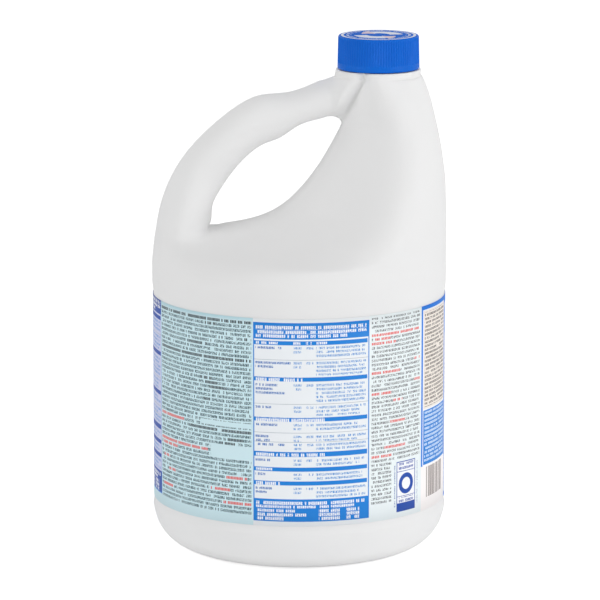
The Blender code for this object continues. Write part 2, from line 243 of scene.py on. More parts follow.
# Rows through the hole: X and Z, and for the rim X, Y and Z. X and Y are shares of the body's radius,
# Z is a share of the shoulder's rise.
RIDGE_SHARES = ((-0.567, 0.116), (-0.416, 0.147), (-0.227, 0.192), (-0.076, 0.272),
                (0.044, 0.380), (0.139, 0.492), (0.214, 0.603), (0.287, 0.728))
GRIP_INNER_SHARES = ((-0.600, 0.136), (-0.589, 0.234), (-0.529, 0.337), (-0.416, 0.473),
                     (-0.262, 0.592), (-0.126, 0.640), (0.010, 0.718), (0.189, 0.763))
GRIP_OUTER_SHARES = ((-0.972, 0.114), (-0.940, 0.250), (-0.863, 0.419), (-0.699, 0.620),
                     (-0.416, 0.830), (-0.220, 0.896), (-0.050, 0.911), (0.110, 0.964))
RIM_SHARES = ((0.300, -0.918, 0.012), (0.420, -0.875, 0.052), (0.500, -0.828, 0.115),
              (0.560, -0.770, 0.208), (0.600, -0.712, 0.305), (0.635, -0.625, 0.430),
              (0.660, -0.525, 0.565), (0.664, -0.434, 0.701), (0.638, -0.388, 0.804),
              (0.600, -0.344, 0.902))
RIGHT_SHARES = ((1.000, 0.049), (1.000, 0.136), (0.999, 0.223), (0.996, 0.310), (0.991, 0.408),
                (0.976, 0.511), (0.957, 0.620), (0.929, 0.734), (0.905, 0.821), (0.873, 0.918))
# The valley between handle and neck, and its side towards the dish: X, Z and Y
VALLEY_SHARES = ((0.335, 0.812, -0.080), (0.386, 0.909, -0.165))
VALLEY_SIDE_SHARES = ((0.255, 0.832, -0.166), (0.312, 0.927, -0.232))
SOFT_CREASE = 0.35
# How far the ledge, the collar's foot and its top draw in towards the neck, column by column
VALLEY_NOTCHES = ((RIDGE - 2, (0.0006, 0.0004, 0.0002)), (RIDGE - 1, (0.0020, 0.0016, 0.0010)),
                  (RIDGE, (0.0052, 0.0045, 0.0034)), (RIDGE + 1, (0.0008, 0.0005, 0.0002)))
COLLAR_SHARES = (1, 1, 1, 0.9, 0.5) + (0,) * 9
FLUSH_SHARE = 0.25
HANDLE_END_BULGE = 0.0025

# The row on the shoulder's edge, from the rim to the handle's side: reach and height
EDGE_SHARES = ((0.965, 0.004), (0.962, 0.016), (0.962, 0.033), (0.975, 0.022),
               (0.986, 0.000), (0.992, -0.027), (0.996, -0.054), (1.000, -0.082))
# The handle's leg in the row under the hole and in the hole's first row: X, Z and Y
LEG_ROOT_SHARES = ((-0.730, 0.065, -0.542), (-0.831, 0.071, -0.491), (-0.913, 0.058, -0.334),
                   (-0.970, 0.040, -0.161), (-0.986, 0.027, 0))
LEG_SHARES = ((-0.705, 0.131, -0.327), (-0.812, 0.139, -0.409), (-0.913, 0.128, -0.252))
# Heights of the neck's side in the two rows under the hole, and the shoulder's edge at the front
WALL_SHARES = (-0.065, -0.010)
RIM_REACH_SHARE = 0.965
RIM_DROP_SHARE = -0.002
SECOND_RIM_TURN = math.radians(81)
RECESS_TOP_Z = SHOULDER_Z - SHOULDER_BAND
NECK_OFFSET = BODY_RADIUS - NECK_INSET
COLLAR_TOP_Z = LEDGE_Z + COLLAR_RISE + COLLAR_HEIGHT
CAP_CLEARANCE = 0.0004
CAP_BOTTOM_Z = COLLAR_TOP_Z + CAP_CLEARANCE
LIP_Z = 0.2758


def column_angles(rim_turn):
    """Angles of the columns, from +X towards -Y, eased so that the rim column lies at rim_turn."""
    even = math.pi / COLUMNS
    skew = (rim_turn - even * RIM) / math.sin(even * RIM)
    return [even * column + skew * math.sin(even * column) for column in range(COLUMNS + 1)]


def ring(radius, height, rim_turn=RIM_TURN, centre=0.0):
    return [
        Vector((centre + radius * math.cos(turn), -radius * math.sin(turn), height))
        for turn in column_angles(rim_turn)
    ]


def neck_ring(radius, height):
    """A ring under the cap, its columns spaced to meet the dish, the valley and the handle."""
    stops = ((0, 0), (RIM, NECK_TURN), (RIDGE, VALLEY_TURN), (COLUMNS, math.pi))
    points = []
    for (first, start), (last, end) in zip(stops, stops[1:]):
        for column in range(first, last + (last == COLUMNS)):
            turn = start + (end - start) * (column - first) / (last - first)
            points.append(Vector((
                NECK_OFFSET + radius * math.cos(turn),
                -radius * math.sin(turn),
                height,
            )))
    return points


def on_jug(x_share, z_share, y_share=0.0):
    """A point of the shoulder from its shares."""
    return Vector((
        BODY_RADIUS * x_share,
        BODY_RADIUS * y_share,
        SHOULDER_Z + (LEDGE_Z - SHOULDER_Z) * z_share,
    ))


def wall_points(right, rim):
    """The columns from the neck's side to the rim: an arc centred on the parting plane."""
    centre = (right.x**2 - rim.x**2 - rim.y**2) / (2 * (right.x - rim.x))
    radius = right.x - centre
    turn = math.atan2(-rim.y, rim.x - centre)
    points = []
    for column in range(RIM + 1):
        share = column / RIM
        height = right.z + (rim.z - right.z) * share**RIM_FALL_POWER
        angle = turn * share
        points.append(Vector((centre + radius * math.cos(angle), -radius * math.sin(angle), height)))
    return points


def grip_points(inner, outer, half_width, drop):
    """Half of the handle's oval section, from the hole round to the outside, its front lower by drop."""
    middle = (inner + outer) / 2
    steps = COLUMNS - GRIP
    points = []
    for step in range(steps + 1):
        turn = math.pi * step / steps
        across = Vector((0, -half_width, -drop)) * math.sin(turn)
        points.append(middle + (inner - middle) * math.cos(turn) + across)
    return points


def dish_points(rim, ridge):
    """The dish between rim and ridge, a little proud of the straight line."""
    outward = Vector((rim.y, -(rim.x - ridge.x), 0)).normalized()
    proud = (outward + Vector((0, 0, 1))).normalized() * DISH_BULGE
    return [rim.lerp(ridge, share) + proud for share in DISH_SHARES]


def hole_rows():
    """The rows that the handle's hole splits, each a body part and a handle part."""
    rows = []
    for number, ridge_share in enumerate(RIDGE_SHARES):
        ridge = on_jug(*ridge_share)
        rim_x, rim_y, rim_z = RIM_SHARES[number]
        wall = wall_points(on_jug(*RIGHT_SHARES[number]), on_jug(rim_x, rim_z, rim_y))
        inner = on_jug(*GRIP_INNER_SHARES[number])
        outer = on_jug(*GRIP_OUTER_SHARES[number])
        grip = grip_points(inner, outer, GRIP_HALF_WIDTHS[number], GRIP_DROPS[number])
        rows.append(wall + dish_points(wall[RIM], ridge) + [ridge] + grip)
    rows[0][GRIP + 1:COLUMNS] = [on_jug(*shares) for shares in LEG_SHARES]
    return rows


def front_rim(turn):
    """A point of the shoulder's edge at the front of the jug."""
    return on_jug(RIM_REACH_SHARE * math.cos(turn), RIM_DROP_SHARE, -RIM_REACH_SHARE * math.sin(turn))


def edge_row():
    """The row on the shoulder's edge, below the handle's root."""
    angles = column_angles(RIM_TURN)
    points = wall_points(on_jug(1, WALL_SHARES[0]), front_rim(RIM_TURN))
    for turn, (reach, height) in zip(angles[RIM + 1:], EDGE_SHARES):
        points.append(on_jug(reach * math.cos(turn), height, -reach * math.sin(turn)))
    return points


def root_row(edge, first_hole_row):
    """The row half-way from the shoulder's edge to the handle's root."""
    points = wall_points(on_jug(1, WALL_SHARES[1]), front_rim(SECOND_RIM_TURN))
    inside = on_jug(-1 / 2, 0)
    inside.z = RECESS_TOP_Z
    for column in range(RIM + 1, GRIP):
        middle = (edge[column] + first_hole_row[column]) / 2
        points.append(middle + (middle - inside).normalized() * ROOT_BULGE)
    return points + [on_jug(*shares) for shares in LEG_ROOT_SHARES]


def neck_rows(last_hole_row, ledge):
    """The rows above the hole, where handle and neck meet in a valley."""
    rows = []
    outward = Vector((0, -HANDLE_END_BULGE, 0))
    above = RIM_SHARES[len(RIDGE_SHARES):]
    for step, (x_share, y_share, z_share) in enumerate(above):
        right = on_jug(*RIGHT_SHARES[len(RIDGE_SHARES) + step])
        wall = wall_points(right, on_jug(x_share, z_share, y_share))
        blend = (step + 1) / (len(above) + 1)
        valley = on_jug(*VALLEY_SHARES[step])
        rest = dish_points(wall[RIM], valley)[:RIDGE - RIM - 1] + [valley]
        rest += [
            last_hole_row[column].lerp(ledge[column], blend) + outward * (column < COLUMNS)
            for column in range(RIDGE + 1, COLUMNS + 1)
        ]
        rest[RIDGE + 1 - len(wall)] = on_jug(*VALLEY_SIDE_SHARES[step])
        rows.append(wall + rest)
    return rows


def bottle_rows():
    """All rows from the foot to the lip, the numbers of those with a hard edge, and the hole's rows."""
    foot_radius = BODY_RADIUS - FOOT_CORNER
    rows = [
        ring(PUSH_UP_RADIUS, PUSH_UP),
        ring(foot_radius - FOOT_WIDTH, 0),
        ring(foot_radius, 0),
    ]
    for step in range(1, CORNER_ROWS + 1):
        turn = math.pi / 2 * step / (CORNER_ROWS + 1)
        rows.append(ring(foot_radius + FOOT_CORNER * math.sin(turn), FOOT_CORNER * (1 - math.cos(turn))))
    rows += [
        ring(BODY_RADIUS, RECESS_BOTTOM_Z - RECESS_FOOT_STEP),
        ring(BODY_RADIUS - RECESS_DEPTH, RECESS_BOTTOM_Z),
        ring(BODY_RADIUS - RECESS_DEPTH, RECESS_TOP_Z),
        ring(BODY_RADIUS, RECESS_TOP_Z + RECESS_STEP),
        ring(BODY_RADIUS, SHOULDER_Z - WALL_END),
    ]
    hard = [1, 2, CORNER_ROWS + 3, CORNER_ROWS + 4, CORNER_ROWS + 5, CORNER_ROWS + 6]
    split = hole_rows()
    edge = edge_row()
    rows += [edge, root_row(edge, split[0])]
    first = len(rows)
    rows += split
    last = len(rows) - 1
    ledge = neck_ring(LEDGE_RADIUS, LEDGE_Z)
    rows += neck_rows(split[-1], ledge)
    hard += [len(rows) + step for step in range(NECK_ROWS)]
    collar = neck_ring(COLLAR_RADIUS, LEDGE_Z + COLLAR_RISE)
    collar_top = neck_ring(COLLAR_RADIUS, COLLAR_TOP_Z)
    for column, share in enumerate(COLLAR_SHARES):
        flush = ledge[column].lerp(collar_top[column], FLUSH_SHARE)
        collar[column] = flush.lerp(collar[column], share)
    for column, depths in VALLEY_NOTCHES:
        for line, depth in zip((ledge, collar, collar_top), depths):
            inward = Vector((NECK_OFFSET - line[column].x, -line[column].y, 0)).normalized()
            line[column] += inward * depth
    rows += [
        ledge,
        collar,
        collar_top,
        ring(NECK_RADIUS, COLLAR_TOP_Z, NECK_TURN, NECK_OFFSET),
        ring(NECK_RADIUS, LIP_Z, NECK_TURN, NECK_OFFSET),
    ]
    return fair(rows, first, last), hard, first, last


def half_shell(rows, hard, first, last):
    """The half grid as an open surface, with the foot closed by a fan and the hole left out."""
    bm = bmesh.new()
    crease = bm.edges.layers.float.new("crease_edge")
    centre = bm.verts.new((0, 0, PUSH_UP))
    grid = [[bm.verts.new(point) for point in row] for row in rows]
    for column in range(COLUMNS):
        bm.faces.new((centre, grid[0][column], grid[0][column + 1]))
    for low, (below, above) in enumerate(zip(grid, grid[1:])):
        for column in range(COLUMNS):
            if column == RIDGE and first <= low < last:
                continue
            bm.faces.new((below[column], above[column], above[column + 1], below[column + 1]))
    ledge = len(rows) - NECK_ROWS
    for number in hard:
        for column, (left, right) in enumerate(zip(grid[number], grid[number][1:])):
            strength = SOFT_CREASE * COLLAR_SHARES[column] if number in (ledge, ledge + 1) else 1.0
            bm.edges.get((left, right))[crease] = strength
    for number in range(first, ledge + 2):
        strength = RIDGE_CREASE if number < last else VALLEY_CREASE
        bm.edges.get((grid[number][RIDGE], grid[number + 1][RIDGE]))[crease] = strength
    mesh = bpy.data.meshes.new("bottle")
    bm.to_mesh(mesh)
    bm.free()
    return mesh


def soft_keys(first, last):
    """Row and column of the points that the fairing places: the dish's rim and the handle's root."""
    soft = {(first - 2, column) for column in range(RIM - 1, COLUMNS)}
    soft |= {(first - 1, column) for column in range(RIM - 1, COLUMNS)}
    soft |= {(row, RIM) for row in range(first, last + 3)}
    handle = range(GRIP + 1, COLUMNS)
    return soft | {(row, column) for row in (first, last + 1, last + 2) for column in handle}


def fair(rows, first, last):
    """Moves the soft points of the grid until the surface bends as little as it can."""
    soft = soft_keys(first, last)
    points = {}
    for row, line in enumerate(rows):
        points.update({(row, column): point.copy() for column, point in enumerate(line)})

    def around(row, column):
        found = [points[(row - 1, column)], points[(row + 1, column)]]
        hole = first <= row <= last
        sides = [column - 1, column + 1]
        if column == 0 or hole and column == GRIP:
            sides = [column + 1, column + 1]
        if column == COLUMNS or hole and column == RIDGE:
            sides = [column - 1, column - 1]
        found += [points[(row, side)] for side in sides]
        if sides[0] == sides[1]:
            found[-1] = Vector((found[-1].x, -found[-1].y, found[-1].z))
        return found

    def lag(row, column):
        return sum(around(row, column), Vector()) / 4 - points[(row, column)]

    near = {(row + up, column + side) for row, column in soft for up, side in STEPS_ROUND}
    near = [key for key in near | soft if 0 <= key[1] <= COLUMNS]
    for _ in range(FAIRING_PASSES):
        lags = {key: lag(*key) for key in near}
        for row, column in soft:
            spread = Vector()
            for up, side in STEPS_ROUND:
                spread += lags.get((row + up, column + side), Vector())
            points[(row, column)] += (lags[(row, column)] - spread / 4) * FAIRING_STEP
    faired = []
    for row, line in enumerate(rows):
        faired.append([])
        for column, point in enumerate(line):
            softness = 1 if row > first or row == first and column <= RIM else LEG_SOFTNESS
            if row < first and column <= RIDGE:
                softness = RIM_SOFTNESS
            faired[-1].append(point.lerp(points[(row, column)], softness))
    return faired


def pull_through(obj, targets):
    """Moves the cage until the smoothed surface passes through the target points."""
    for _ in range(FITTING_PASSES):
        bpy.context.view_layer.update()
        evaluated = obj.evaluated_get(bpy.context.evaluated_depsgraph_get())
        smooth = evaluated.to_mesh()
        for vertex, target in zip(obj.data.vertices, targets):
            vertex.co += target - smooth.vertices[vertex.index].co
        evaluated.to_mesh_clear()
        obj.data.update()


def soften_root(obj, first):
    """Blends the handle's root into the shoulder, where rows and columns of the grid change places."""
    root = obj.vertex_groups.new(name="root")
    for row in range(first - 2, first + 2):
        for column in range(RIDGE - 1, COLUMNS):
            inner = first - 2 < row < first + 1 and RIDGE <= column < COLUMNS
            at_hole = row >= first and column in (RIDGE, GRIP)
            if not at_hole:
                number = 1 + row * (COLUMNS + 1) + column
                root.add([number], 1.0 if inner else ROOT_EDGE_WEIGHT, "REPLACE")
    blend = obj.modifiers.new("root_blend", "SMOOTH")
    blend.vertex_group = "root"
    blend.factor = ROOT_BLEND
    blend.iterations = ROOT_PASSES


def finished(name, mesh, body, finish):
    """A new piece with its material, riding on its body."""
    piece = bpy.data.objects.new(name, mesh)
    bpy.context.scene.collection.objects.link(piece)
    mesh.materials.append(finish)
    mesh.shade_smooth()
    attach(piece, body)
    return piece


def make_bottle(finish):
    """The shell: half a grid of points, mirrored at the parting plane, smoothed and given its wall."""
    rows, hard, first, last = bottle_rows()
    mesh = half_shell(rows, hard, first, last)
    targets = [vertex.co.copy() for vertex in mesh.vertices]
    shell = finished("bottle_shell", mesh, "jug", finish)
    mirror = shell.modifiers.new("other_half", "MIRROR")
    mirror.use_axis = (False, True, False)
    mirror.use_clip = True
    mirror.merge_threshold = MERGE_REACH
    smooth = shell.modifiers.new("smooth", "SUBSURF")
    smooth.levels = SMOOTHING
    smooth.render_levels = SMOOTHING
    pull_through(shell, targets)
    soften_root(shell, first)
    wall = shell.modifiers.new("wall", "SOLIDIFY")
    wall.thickness = WALL
    wall.offset = -1
    wall.use_quality_normals = True
    return shell


def dye(red, green, blue):
    """A colour as a chart gives it, 0 to 255, turned into the share of light that it reflects."""
    shares = [value / 255 for value in (red, green, blue)]
    return [share / 12.92 if share < 0.04 else ((share + 0.055) / 1.055) ** 2.4 for share in shares] + [1.0]


# The screw thread, and the finish of the wall
THREAD_PITCH = 0.00423
THREAD_STEPS = 72
THREAD_START_Z = 0.2640
THREAD_WIDTH = 0.0022
THREAD_SECTION = ((False, -0.5), (True, -0.22), (True, 0.22), (False, 0.5))
THREAD_RUN_OUT = 6
THREAD_ROUNDING = 0.00015
THREAD_EDGE_TURN = math.radians(25)
THREAD_SEAT = 0.0002
NECK_THREAD_REACH = 0.0190
NECK_THREAD_TURNS = 2.2
SKIN_WHITE = dye(240, 240, 240)
SKIN_SHADE = dye(236, 236, 236)
GRAIN_SIZE = 0.0011
GRAIN_DEPTH = 0.25
FLOW_DEPTH = 0.35
PARTING_DEPTH = 0.5
PARTING_LINE = 0.00025


def white_polyethylene():
    made, skin, place = new_finish("white_polyethylene")
    side = skin.node("SeparateXYZ", None, {0: place}, 1)
    clouds = skin.node("TexNoise", None, {"Vector": place, "Scale": 14.0, "Detail": 3.0})
    grain = skin.node("TexNoise", None, {"Vector": place, "Scale": 1 / GRAIN_SIZE, "Detail": 2.0})
    flow = skin.node("TexNoise", None, {"Vector": place, "Scale": 45.0, "Detail": 1.0})
    parting = side.math("ABSOLUTE", side) < PARTING_LINE
    relief = grain * GRAIN_DEPTH + flow * FLOW_DEPTH + parting * PARTING_DEPTH
    bump = skin.node("Bump", None, {"Strength": 0.35, "Distance": 0.0002, "Height": relief})
    shader = skin.node("BsdfPrincipled", None, {
        "Base Color": clouds.mixed(SKIN_WHITE, SKIN_SHADE),
        "Roughness": clouds * 0.08 + 0.5, "Normal": bump,
        "Subsurface Weight": 0.12, "Subsurface Radius": (0.006, 0.006, 0.006), "Subsurface Scale": 1.0,
        "Specular IOR Level": 0.2})
    skin.node("OutputMaterial", None, {"Surface": shader})
    return made


def thread(name, root, reach, start, turns, finish, body):
    """A screw thread as a ridge that winds up round the neck's axis and runs out at both ends."""
    steps = round(THREAD_STEPS * turns)
    corners = []
    for step in range(steps + 1):
        turn = 2 * math.pi * step / THREAD_STEPS
        fade = min(1, step / THREAD_RUN_OUT, (steps - step) / THREAD_RUN_OUT)
        for at_crest, up in THREAD_SECTION:
            radius = root + (reach - root) * fade * at_crest
            corners.append((
                NECK_OFFSET + radius * math.cos(turn),
                radius * math.sin(turn),
                start + THREAD_PITCH * step / THREAD_STEPS + THREAD_WIDTH * up,
            ))
    faces = []
    for step in range(steps):
        for side in range(4):
            a, b = 4 * step + side, 4 * step + (side + 1) % 4
            if reach < root:
                a, b = b, a
            faces.append((a, b, b + 4, a + 4))
    faces += [(3, 2, 1, 0), tuple(4 * steps + side for side in range(4))]
    mesh = bpy.data.meshes.new(name)
    mesh.from_pydata(corners, [], faces)
    piece = finished(name, mesh, body, finish)
    soft = piece.modifiers.new("rounding", "BEVEL")
    soft.width = THREAD_ROUNDING
    soft.segments = 2
    soft.angle_limit = THREAD_EDGE_TURN


polyethylene = white_polyethylene()
bottle = make_bottle(polyethylene)
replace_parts(bottle, "bottle")
thread("neck_thread", NECK_RADIUS - THREAD_SEAT, NECK_THREAD_REACH, THREAD_START_Z, NECK_THREAD_TURNS,
       polyethylene, "jug")

# The label: one printed film that wraps round the recess and is glued to it, with its seam at the
# neck's side. It carries an ordinary household layout with all words greeked: two tables of
# directions, panels of small print, and a plain blue field on the far side.
LABEL_RADIUS = 0.0791
LABEL_THICKNESS = 0.0002
LABEL_LOW_Z = 0.0279
LABEL_HIGH_Z = 0.1394
LABEL_SEAM_TURN = math.radians(20)
LABEL_SEAM_GAP = 0.0010
LABEL_COLUMNS = 240
LABEL_ROWS = 8
MM = 1000
PALE_BLUE = dye(210, 236, 243)
BAND_BLUE = dye(198, 231, 241)
TEAL_INK = dye(16, 68, 80)
BOLD_INK = dye(2, 28, 36)
RED_INK = dye(226, 76, 68)
TABLE_BLUE = dye(28, 130, 218)
TABLE_PAPER = dye(238, 242, 246)
TABLE_INK = dye(50, 140, 214)
FIRST_INK = dye(20, 104, 186)
RULE_GREY = dye(170, 180, 190)
# Paper of the far table: the table's paper printed darker and bluer, as painted shade
SHADED_TABLE_PAPER = dye(206, 210, 238)
DARK_BLUE = dye(30, 76, 170)
WHITE_INK = dye(248, 249, 252)
SIDE_PAPER = dye(237, 245, 247)
GREY_INK = dye(74, 76, 82)
CREAM = dye(242, 234, 226)
BROWN_INK = dye(62, 50, 46)
FRONT_BLUE = dye(10, 122, 226)
DEEP_BLUE = dye(10, 62, 170)
SOFT_BLUE = dye(84, 156, 232)
FOOT_PAPER = dye(254, 249, 248)
STRIPE_BROWN = dye(128, 114, 110)
ICE_INK = dye(220, 236, 255)

# The print is laid out in millimetres: along from the middle of the near side, and up from its foot.
# An oblong of it is given by its left, right, lower and upper edge.
PRINT_STRETCH = 0.983
PRINT_FOOT = 28.7
RAMP_LEFT, RAMP_RIGHT = -110, 85
RAMP_LOW, RAMP_HIGH = 28, 139

# The left panel: its rows that are red or bold, each by height, left end and right end
LEFT_PANEL_END = -24.6
LEFT_HEAD = (-95, LEFT_PANEL_END, 137, 140)
LEFT_TEXT = (-94, -25.6, 33.6, 137)
LEFT_PITCH = 2.24
LEFT_BASE = 0.10
LEFT_RED = ((80.5, -94, -70), (66.6, -94, -52), (64.3, -93, -76), (57, -91, -84), (52.3, -41, -28),
            (49.6, -85, -78), (45.7, -50, -38), (41.2, -92, -80), (39.2, -43, -25))
LEFT_BOLD = ((136, -95, -24.6), (133.3, -55, -46), (126, -30, -26), (122.3, -66, -52), (116, -95, -24.6),
             (104.1, -57, -49), (101.9, -54, -46), (99.7, -51, -40), (93.2, -55, -50), (78.2, -66, -25),
             (73.5, -40, -30), (71, -44, -33))
LEFT_BLANK = ((82, 79.5, -57, -24.6), (69.8, 62.5, -50, -24.6))

# The narrow panel and its box
SIDE_PANEL = (38.5, 76.5)
SIDE_WORDS = ((39.8, 75, 59.5, 137), (39.8, 53, 38, 60))
SIDE_PITCH = 2.23
SIDE_BASE = 1.75
SIDE_RED = ((128.3, 39, 75), (125.8, 41.5, 52), (122.6, 40, 56), (111.5, 70, 75), (108.7, 40, 58.5),
            (100.2, 70, 75), (97.4, 40, 52.5), (91, 54, 60.5), (82, 52, 62.5), (68.4, 48, 65), (64, 40, 54))
BOX = (56.5, 71, 31.6, 58.5)
BOX_FIELD = (57.0, 70.5, 36.2, 58.0)
BOX_MIDDLE = (63.7, 46.3)
BOX_RING = (3.2, 5.6)
BOX_RULES = ((39.6, 39.9), (52.9, 53.2))
BOX_WORDS = ((58.2, 69.4, 36.4, 39.2), (58.2, 69.4, 53.6, 57.7))
UPRIGHT_WORDS = ((54.8, 55.8, 34, 57), (72.2, 73.2, 34, 57))

# The table: solid bars, the words on them, and the groups of rows between them, each with its upper
# and lower edge and its ends. The second table is the same one, moved left and a little up, and its
# paper and bars are printed darker than the first's as painted shade.
TABLE = (-24.5, 38.5, 31.2, 136.4)
TABLE_INSIDE = (-23.9, 37.9, 31.8, 135.8)
SECOND_TABLE_MOVE = (133.3, 3)
SECOND_TABLE_ENDS = (-157.6, -95)
TABLE_BARS = ((136.2, 127.6, -24.3, 38.3), (126.7, 124.5, -24, 37.4), (107.6, 105.3, -24, 37.3),
              (86.3, 84.1, -24, 37.3), (67.9, 65.5, -24, 37.3), (60, 57.9, -24, 37.3),
              (52.6, 50.3, -24, 37.3), (42.8, 31.4, -24.3, 38.3))
BAR_WORDS = ((135.0, 132.7, -23, 37), (132.5, 130.5, -23, 37), (130.4, 128.4, -23, 26),
             (126.6, 124.7, -23, -11), (107.5, 105.4, -23.2, 1.8), (86.2, 84.2, -23.2, 13.6),
             (67.8, 65.7, -23.2, 13.6), (59.9, 58.0, -23.2, -14), (52.5, 50.4, -23.2, -9),
             (42.1, 40.1, -23.2, 37), (40.0, 38.0, -23.2, 31), (37.9, 35.9, -22.4, -2),
             (35.8, 33.8, -22.4, 4), (33.7, 31.8, -22.4, -8))
FAR_WORDS = ((126.6, 124.7, -3, 15), (37.9, 31.8, 10.5, 33))
FAR_WORD_GAPS = ((0.9, 3.6), (6.6, 9.2), (22, 25.5))
GROUPS = ((124.2, 117.6), (116.3, 108.4), (104.6, 94.4), (92.9, 87.3), (83.6, 79.2),
          (77.4, 73.9), (73.1, 68.8), (64.8, 60.8), (57.3, 53.2), (49.8, 43.6))
GROUP_ENDS = (-23.3, 36.5)
FIGURE_ENDS = ((-2.9, 7.6), (-2.9, 1.1))
FIGURE_GAP = (1.3, 3.9)
LAST_COLUMN = (9, 50)
LAST_COLUMN_END = 38.5
RAGGED = 7
FIRST_COLUMN = ((-9.2,), (-4.5, -13.5), (-11.5, -14, -7.5), (-14.8,), (-11.5,), (-15.3, -15.6), (-7.5,),
                (-14.8,), (-18,), (-14.3, -17.3))
TABLE_PITCH = 2.05
TABLE_RULES = tuple((height - 0.12, height + 0.12) for height in (116.9, 93.6, 78.4, 73.5))

# The columns that run on from the near side to the seam, and the plain field on the far side
FRONT_FIELD = (76.5, 150.5)
NEAR_FRAME = (78, 110.6, 52, 136.2)
NEAR_UPPER = (78.7, 110, 83, 135.6)
NEAR_LOWER = (78.7, 110, 53, 82.3)
NEAR_FOOT = (76.5, 112, 0, 52.4)
BROWN_WORDS = (79.8, 109, 84, 134.8)
BLUE_WORDS = (79.8, 109, 54, 81.5)
STRIPES = (82, 104, 35.2, 51.6)
STRIPE_WIDTH = 0.42
SEAM_COLUMN = (113.5, 149, 31, 134)
SEAM_WORDS = (116, 146, 34, 112)
SEAM_HEAD = (116, 146, 117, 131)
FAR_FIELD_START = 152
FAR_BAND_TOP = 52
FAR_FOOT_TOP = 47
FOOT_PRINT_START = 167
FOOT_PRINT_HEIGHT = (34, 41)

# Greeked print: the parts of a letter's width and how much of them takes ink, the rows of a letter,
# the share of letters left out as spaces, and the counts that keep rows and columns above nought
LETTER_PARTS = 4
LETTER_INK = 2.5
LETTER_ROWS = 7
WORD_SPACES = 0.11
ROWS_BELOW = 500
MM_LEFT = 600
SEED_STEP = 7.31


def rows_at(rows, pitch, base):
    """Oblongs of one row of print each, from the rows' heights and ends."""
    feet = [(base + pitch * math.floor((height - base) / pitch), start, end) for height, start, end in rows]
    return [(foot + pitch, foot, start, end) for foot, start, end in feet]


def spans(along, up, table):
    """1 inside the oblongs of a table, and their upper edges, from a ramp that holds their ends."""
    height = RAMP_HIGH - RAMP_LOW
    width = RAMP_RIGHT - RAMP_LEFT
    stops = {0.0: (1, 0, 0, 1)}
    for top, bottom, start, end in sorted(table, key=lambda row: row[1]):
        ends = [(value - RAMP_LEFT) / width for value in (start, end)]
        stops[round((bottom - RAMP_LOW) / height, 5)] = (*ends, (top - RAMP_LOW) / height, 1)
        stops[round((top - RAMP_LOW) / height, 5)] = (1, 0, 0, 1)
    stops[1.0] = (1, 0, 0, 1)
    settings = {"interpolation": "CONSTANT", "stops": sorted(stops.items())}
    ramp = up.node("ValToRGB", settings, {0: (up - RAMP_LOW) / height})
    start, end, top = (up.node("SeparateColor", None, {0: ramp}, channel) for channel in range(3))
    share = (along - RAMP_LEFT) / width
    return (share > start) * (share < end), top * height + RAMP_LOW


def any_of(bands, value):
    """1 where a value lies in any of several bands."""
    total = value.between(*bands[0])
    for band in bands[1:]:
        total = total.math("MAXIMUM", total, value.between(*band))
    return total


def oblong(along, up, sides):
    """1 inside an oblong of the print."""
    left, right, low, high = sides
    return along.between(left, right) * up.between(low, high)


def either(first, second):
    return first.math("MAXIMUM", first, second)


def small_print(along, up, pitch, base, letter=1.0, thin=0.32, tall=(0.2, 0.8)):
    """Greeked lines: rows of letter-like marks that spell nothing, bolder where thin is less."""
    line = (up - base) / pitch + ROWS_BELOW
    row = line.math("FLOOR", line)
    inside = line - row
    column = along.math("FLOOR", (along + MM_LEFT) / (letter / LETTER_PARTS))
    cell = column.math("FLOOR", column / LETTER_PARTS)
    height = inside.math("FLOOR", inside * LETTER_ROWS)
    seed = row + base * SEED_STEP
    dots = up.node("TexWhiteNoise", {"noise_dimensions": "3D"}, {
        "Vector": up.node("CombineXYZ", None, {0: column, 1: seed, 2: height})})
    words = up.node("TexWhiteNoise", {"noise_dimensions": "2D"}, {
        "Vector": up.node("CombineXYZ", None, {0: cell, 1: seed})})
    marks = (dots > thin) * (words > WORD_SPACES) * (column - cell * LETTER_PARTS < LETTER_INK)
    return marks * inside.between(*tall)


